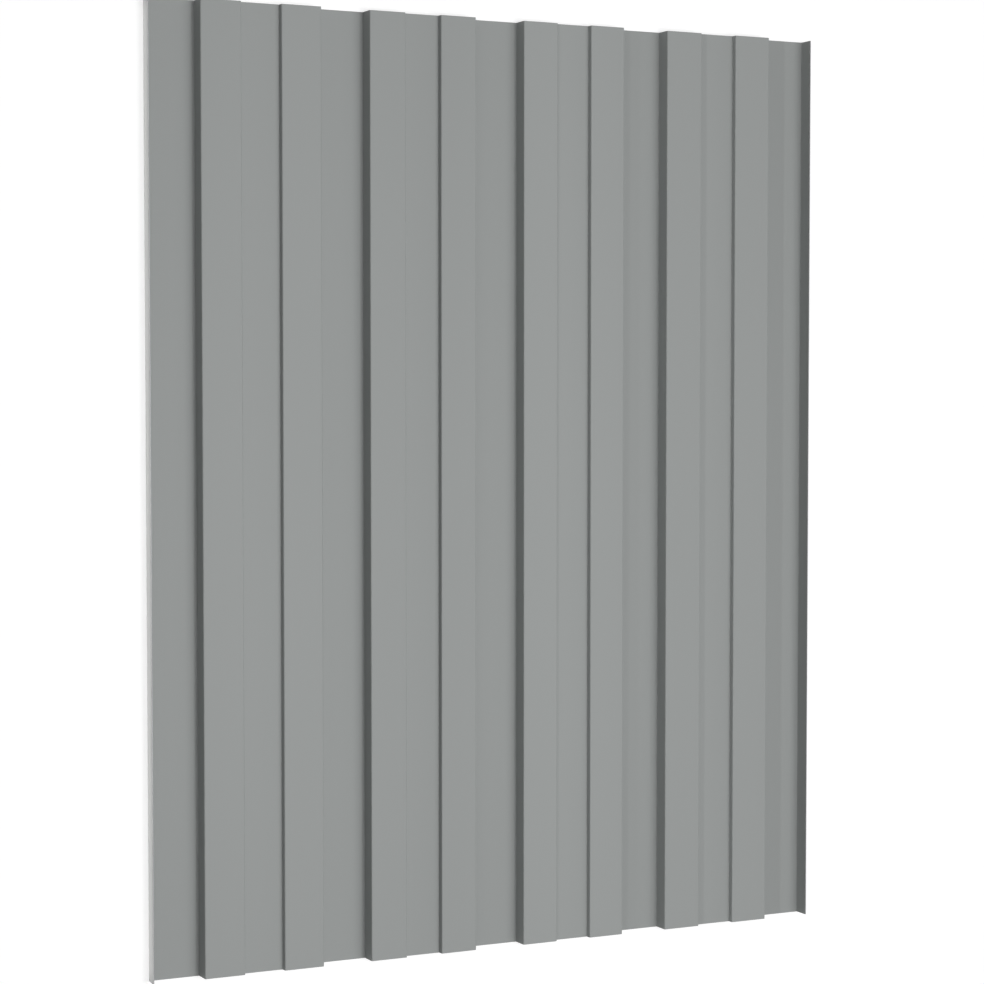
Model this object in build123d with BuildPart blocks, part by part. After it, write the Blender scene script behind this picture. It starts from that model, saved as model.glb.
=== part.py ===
"""A box-ribbed roofing sheet, rolled from one strip of coated steel.

It lies flat: X runs across the ribs, Y along them, and Z is up, with the undersides of the valleys at Z = 0.
Every width and height below is taken on the front face, the side that faces the weather.
"""

import os

from build123d import *

# Driving dimensions, in millimetres.
sheet_length = 600.0  # along the ribs
gauge = 0.5  # thickness of the strip
bend_radius = 0.25  # on the inside of every bend

rib_height = 10.5  # from a valley up to the top of a rib
web_run = 0.4  # how far a rib's side leans in over its height
groove_depth = 3.75  # from the top of a rib down to the floor of its groove
groove_wall_run = 0.3  # how far a groove's side leans over its depth
lip_height = 10.5  # from a valley up to the free edge of a lip
lip_run = 0.4  # how far a lip leans out over its height

centre_valley_width = 33.3  # from foot to foot, on the sheet's centre line
side_valley_width = 31.6  # between an inner and an outer rib
edge_valley_width = 31.8  # between an outer rib and a lip
inner_flat_width = 24.4  # each of the two flats on top of an inner rib
inner_groove_width = 24.4  # mouth of an inner rib's groove
outer_flat_width = 26.2  # each of the two flats on top of an outer rib
outer_groove_width = 26.2  # mouth of an outer rib's groove


def rib_steps(flat_width, groove_width):
    """The steps, across and up, that lead over one rib from the foot of one side to the foot of the other."""
    groove_floor_width = groove_width - 2 * groove_wall_run
    return [
        (web_run, rib_height),
        (flat_width, 0),
        (groove_wall_run, -groove_depth),
        (groove_floor_width, 0),
        (groove_wall_run, groove_depth),
        (flat_width, 0),
        (web_run, -rib_height),
    ]


# The front face of the right half, step by step from the centre line out to the lip's free edge.
half_steps = [
    (centre_valley_width / 2, 0),
    *rib_steps(inner_flat_width, inner_groove_width),
    (side_valley_width, 0),
    *rib_steps(outer_flat_width, outer_groove_width),
    (edge_valley_width, 0),
    (lip_run, lip_height),
]

corners = [Vector(0, gauge)]
for across, up in half_steps:
    corners.append(corners[-1] + Vector(across, up))

# A bend that turns down has the gauge inside it, so its front face has the larger radius.
bend_radii = []
for (across_in, up_in), (across_out, up_out) in zip(half_steps, half_steps[1:]):
    turns_down = across_in * up_out < up_in * across_out
    bend_radii.append(bend_radius + gauge if turns_down else bend_radius)

# The strip's section, drawn as its right half and mirrored, then run along the sheet.
with BuildPart() as profiled_sheet:
    with BuildSketch(Plane.XZ) as section:
        with BuildLine() as half_section:
            front_face = FilletPolyline(*corners, radius=bend_radii)
            offset(front_face, amount=gauge, side=Side.RIGHT)
        make_face()
        mirror(about=Plane.YZ)
    extrude(amount=sheet_length / 2, both=True)

profiled_sheet.part.label = "profiled_sheet"

os.makedirs("parts", exist_ok=True)
export_step(profiled_sheet.part, "parts/profiled_sheet.step")
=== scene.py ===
"""The finish, the light and the camera for a box-ribbed roofing sheet that lies on a white floor.

Everything is in metres: X runs across the ribs, Y along them, and Z is up.
"""

import math

import bmesh
import bpy
from mathutils import Euler, Matrix, Vector


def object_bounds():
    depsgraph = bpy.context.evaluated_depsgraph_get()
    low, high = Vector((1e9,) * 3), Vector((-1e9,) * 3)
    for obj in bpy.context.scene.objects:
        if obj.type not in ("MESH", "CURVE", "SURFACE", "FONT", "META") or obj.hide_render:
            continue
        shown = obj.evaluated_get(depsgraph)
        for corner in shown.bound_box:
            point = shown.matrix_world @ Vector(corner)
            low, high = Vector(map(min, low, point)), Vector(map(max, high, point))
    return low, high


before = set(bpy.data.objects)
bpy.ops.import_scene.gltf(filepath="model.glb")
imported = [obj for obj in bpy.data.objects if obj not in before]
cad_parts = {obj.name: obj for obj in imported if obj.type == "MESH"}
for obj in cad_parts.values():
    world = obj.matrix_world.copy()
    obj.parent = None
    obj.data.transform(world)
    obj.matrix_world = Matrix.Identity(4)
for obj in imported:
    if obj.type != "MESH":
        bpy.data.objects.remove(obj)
cad_low, cad_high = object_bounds()

MILLIMETRE = 0.001

# The sheet as it lies in the frame, with its centre on the front face of the middle valley.
SHEET_GAUGE = 0.5 * MILLIMETRE
sheet_height = cad_high.z - cad_low.z
sheet_centre = (cad_low + cad_high) / 2
sheet_centre.z = cad_low.z + SHEET_GAUGE

# The camera looks down on the sheet, swung to its left about the ribs, tipped a little towards
# their far ends and slid a little aside.
CAMERA_SENSOR_MM = 36.0
CAMERA_LENS_MM = 90.0
CAMERA_SWING = math.radians(-25.3)
CAMERA_TIP = math.radians(-2.53)
CAMERA_DISTANCE = 1598 * MILLIMETRE
CAMERA_ASIDE = Vector((-0.8, -3.6, 0)) * MILLIMETRE

# Linear colours of the front's coat, the paler backing coat on the reverse and the bare cut edges.
FRONT_COLOUR = (0.302, 0.315, 0.311, 1)
REVERSE_COLOUR = (0.62, 0.625, 0.615, 1)
CUT_EDGE_COLOUR = (0.27, 0.275, 0.28, 1)
CUT_EDGE_METAL = 0.5

# Both coats are satin. Their shade and roughness drift slowly, and they have a fine orange peel.
COAT_ROUGHNESS = 0.55
COAT_SHINE = 0.35
DRIFT_SCALE = 9.0
DRIFT_DETAIL = 2.0
SHADE_DRIFT = 0.015
ROUGHNESS_DRIFT = 0.03
PEEL_SCALE = 420.0
PEEL_DETAIL = 3.0
PEEL_STRENGTH = 0.15
PEEL_DEPTH = 0.03 * MILLIMETRE

# A face that turns this far along the ribs is a cut end. One that turns this far up, this close to
# the sheet's side, is the slit edge of a lip.
CUT_END_TURN = 0.5
SLIT_EDGE_TURN = 0.9
SLIT_EDGE_REACH = 1.3 * SHEET_GAUGE

# The floor's paint takes the shadow, and its glow lifts it to white under the lamps. Further out,
# where the lamps fade, the glow alone is white, and under the sheet there is none.
FLOOR_REACH = 6.0
FLOOR_COLOUR = (0.45, 0.45, 0.45, 1)
NEAR_GLOW = (0.67, 0.67, 0.67, 1)
NEAR_GLOW_REACH = 0.6
FAR_GLOW_REACH = 1.5
GLOW_INSET = 1 * MILLIMETRE
NO_GLOW = (0, 0, 0, 1)
WHITE = (1, 1, 1, 1)
SURROUNDINGS_LIGHT = 0.2


class Field:
    """A socket of a node tree. Arithmetic on fields adds Math nodes, and node() adds any other node."""

    def __init__(self, tree, socket=None):
        self.tree = tree
        self.socket = socket

    def node(self, kind, settings=None, sockets=None, output=0):
        """Adds a node with its settings, fills its sockets with values or fields and gives one output."""
        made = self.tree.nodes.new(kind)
        for name, value in (settings or {}).items():
            setattr(made, name, value)
        for name, value in (sockets or {}).items():
            if isinstance(value, Field):
                self.tree.links.new(value.socket, made.inputs[name])
            else:
                made.inputs[name].default_value = value
        return Field(self.tree, made.outputs[output] if made.outputs else None)

    def math_node(self, operation, *values):
        """A Math node on numbers and fields."""
        return self.node("ShaderNodeMath", {"operation": operation}, dict(enumerate(values)))

    def __add__(self, other):
        return self.math_node("ADD", self, other)

    def __mul__(self, other):
        return self.math_node("MULTIPLY", self, other)

    def __rsub__(self, other):
        return self.math_node("SUBTRACT", other, self)

    def __gt__(self, other):
        return self.math_node("GREATER_THAN", self, other)

    __radd__ = __add__
    __rmul__ = __mul__

    def either(self, other):
        """1 where either of two masks is 1."""
        return self.math_node("MAXIMUM", self, other)

    def size(self):
        """The value without its sign."""
        return self.math_node("ABSOLUTE", self)

    def along(self, axis):
        """The part of a vector that lies along one axis."""
        return self.node("ShaderNodeSeparateXYZ", sockets={"Vector": self}, output=axis)

    def blend(self, start, end):
        """A colour that goes from start to end as this field goes from 0 to 1."""
        return self.node("ShaderNodeMix", {"data_type": "RGBA"}, {0: self, 6: start, 7: end}, output=2)


def fresh_nodes(owner):
    """The empty node tree of a material or a world, ready for its first node."""
    owner.use_nodes = True
    owner.node_tree.nodes.clear()
    return Field(owner.node_tree)


def seen_directly(nodes):
    """1 for what is seen, straight or in a shine or through glass, and 0 for light that only bounces."""
    camera_ray = nodes.node("ShaderNodeLightPath", output="Is Camera Ray")
    glossy_ray = nodes.node("ShaderNodeLightPath", output="Is Glossy Ray")
    transmission_ray = nodes.node("ShaderNodeLightPath", output="Is Transmission Ray")
    return camera_ray.either(glossy_ray).either(transmission_ray)


def shade(colour, factor):
    """A colour made lighter or darker."""
    return [part * factor for part in colour[:3]] + [1]


def coated_steel():
    """Satin grey coat on the front, a paler one on the reverse, and bare metal where it was cut."""
    material = bpy.data.materials.new("coated_steel")
    nodes = fresh_nodes(material)
    place = nodes.node("ShaderNodeTexCoord", output="Object")
    facing = nodes.node("ShaderNodeNewGeometry", output="True Normal")

    reverse = 1 - (facing.along("Z") > 0)
    cut_end = facing.along("Y").size() > CUT_END_TURN
    at_lip = place.along("X").size() > cad_high.x - SLIT_EDGE_REACH
    slit_edge = at_lip * (facing.along("Z") > SLIT_EDGE_TURN)
    cut_edge = cut_end.either(slit_edge)

    drift = nodes.node(
        "ShaderNodeTexNoise", sockets={"Vector": place, "Scale": DRIFT_SCALE, "Detail": DRIFT_DETAIL}
    )
    peel = nodes.node(
        "ShaderNodeTexNoise", sockets={"Vector": place, "Scale": PEEL_SCALE, "Detail": PEEL_DETAIL}
    )
    orange_peel = nodes.node(
        "ShaderNodeBump", sockets={"Height": peel, "Strength": PEEL_STRENGTH, "Distance": PEEL_DEPTH}
    )
    front_colour = drift.blend(shade(FRONT_COLOUR, 1 - SHADE_DRIFT), shade(FRONT_COLOUR, 1 + SHADE_DRIFT))
    coat_colour = reverse.blend(front_colour, REVERSE_COLOUR)
    steel = nodes.node(
        "ShaderNodeBsdfPrincipled",
        sockets={
            "Base Color": cut_edge.blend(coat_colour, CUT_EDGE_COLOUR),
            "Metallic": cut_edge * CUT_EDGE_METAL,
            "Roughness": drift * (2 * ROUGHNESS_DRIFT) + (COAT_ROUGHNESS - ROUGHNESS_DRIFT),
            "Specular IOR Level": COAT_SHINE,
            "Normal": orange_peel,
        },
    )
    nodes.node("ShaderNodeOutputMaterial", sockets={"Surface": steel})
    return material


def floor_paint():
    """White where it is seen: its paint takes the light and the shadow, and its glow lights nothing."""
    material = bpy.data.materials.new("floor_paint")
    nodes = fresh_nodes(material)
    paint = nodes.node("ShaderNodeBsdfDiffuse", sockets={"Color": FLOOR_COLOUR})
    place = nodes.node("ShaderNodeTexCoord", output="Object")
    distance = nodes.node("ShaderNodeVectorMath", {"operation": "LENGTH"}, {0: place}, output="Value")
    far = nodes.node(
        "ShaderNodeMapRange",
        {"interpolation_type": "SMOOTHSTEP"},
        {"Value": distance, "From Min": NEAR_GLOW_REACH, "From Max": FAR_GLOW_REACH},
    )
    past_side = place.along("X").size() > cad_high.x - GLOW_INSET
    past_end = place.along("Y").size() > cad_high.y - GLOW_INSET
    uncovered = past_side.either(past_end)
    glow_colour = uncovered.blend(NO_GLOW, far.blend(NEAR_GLOW, WHITE))
    seen = seen_directly(nodes)
    glow = nodes.node("ShaderNodeEmission", sockets={"Color": glow_colour, "Strength": seen})
    both = nodes.node("ShaderNodeAddShader", sockets={0: paint, 1: glow})
    nodes.node("ShaderNodeOutputMaterial", sockets={"Surface": both})
    return material


def white_floor():
    """A wide floor under the sheet."""
    shape = bmesh.new()
    level = Matrix.Translation((0, 0, cad_low.z))
    bmesh.ops.create_grid(shape, x_segments=1, y_segments=1, size=FLOOR_REACH, matrix=level)
    mesh = bpy.data.meshes.new("floor")
    shape.to_mesh(mesh)
    shape.free()
    mesh.materials.append(floor_paint())
    floor = bpy.data.objects.new("floor", mesh)
    bpy.context.scene.collection.objects.link(floor)


def white_surroundings():
    """A world that is white where it is seen and dim where it only lights."""
    world = bpy.data.worlds.new("white_surroundings")
    bpy.context.scene.world = world
    nodes = fresh_nodes(world)
    seen = seen_directly(nodes)
    strength = seen + (1 - seen) * SURROUNDINGS_LIGHT
    background = nodes.node("ShaderNodeBackground", sockets={"Color": WHITE, "Strength": strength})
    nodes.node("ShaderNodeOutputWorld", sockets={"Surface": background})


def softbox(name, place, aim, size, power, beam=180):
    """A lamp at one place that is aimed at another, both measured from the sheet's centre.

    Its size is given across the ribs and along them, and its beam in degrees.
    """
    lamp = bpy.data.lights.new(name, "AREA")
    lamp.shape = "RECTANGLE"
    across, along = size
    lamp.size = along
    lamp.size_y = across
    lamp.energy = power
    lamp.spread = math.radians(beam)
    holder = bpy.data.objects.new(name, lamp)
    holder.location = sheet_centre + Vector(place)
    holder.rotation_euler = (Vector(place) - Vector(aim)).to_track_quat("Z", "Y").to_euler()
    holder.visible_camera = False
    bpy.context.scene.collection.objects.link(holder)


def studio_lamps():
    """Soft light from above and from the right, and weak strips that lift what it leaves dark."""
    middle = (0, 0, 0)
    softbox("key_softbox", place=(0.25, -0.12, 2.2), aim=middle, size=(0.65, 0.65), power=14.8)
    softbox("side_softbox", place=(0.85, -0.12, 2.3), aim=middle, size=(1.5, 1.5), power=18)

    # It skims over the ribs, so it leaves the valleys a little darker than the flats.
    softbox("right_strip", place=(2.4, 0, 0.6), aim=middle, size=(0.3, 2.0), power=3.2)

    # It lifts the shaded sides of the left ribs.
    left_ribs = (-0.15, 0, 0)
    softbox("high_strip", place=(-0.9, 0, 2.0), aim=left_ribs, size=(0.2, 1.4), power=0.18, beam=14)

    # They rake across the right ribs, which drop a thin shade on their far sides.
    inner_rib = (0.06, 0, 0)
    outer_rib = (0.2, 0, 0)
    softbox("inner_rake", place=(-0.45, 0, 0.55), aim=inner_rib, size=(0.04, 1.5), power=0.044, beam=11)
    softbox("outer_rake", place=(-0.8, 0, 0.55), aim=outer_rib, size=(0.04, 1.5), power=0.06, beam=7)

    # It lies low beside the left lip, so it lights only the lip's outer face, and its foot the most.
    level = sheet_height / 4
    lip_size = (sheet_height / 2, cad_high.y - cad_low.y)
    softbox("lip_strip", place=(-0.6, 0, level), aim=(0, 0, level), size=lip_size, power=0.014, beam=4)


def camera():
    """The camera of the main view."""
    lens = bpy.data.cameras.new("camera")
    lens.sensor_width = CAMERA_SENSOR_MM
    lens.lens = CAMERA_LENS_MM
    holder = bpy.data.objects.new("camera", lens)
    turn = Euler((CAMERA_TIP, CAMERA_SWING, 0))
    holder.rotation_euler = turn
    back = CAMERA_ASIDE + Vector((0, 0, CAMERA_DISTANCE))
    holder.location = sheet_centre + turn.to_matrix() @ back
    bpy.context.scene.collection.objects.link(holder)
    bpy.context.scene.camera = holder


bpy.context.scene.view_settings.view_transform = "Standard"
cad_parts["profiled_sheet"].material_slots[0].material = coated_steel()
white_floor()
white_surroundings()
studio_lamps()
camera()
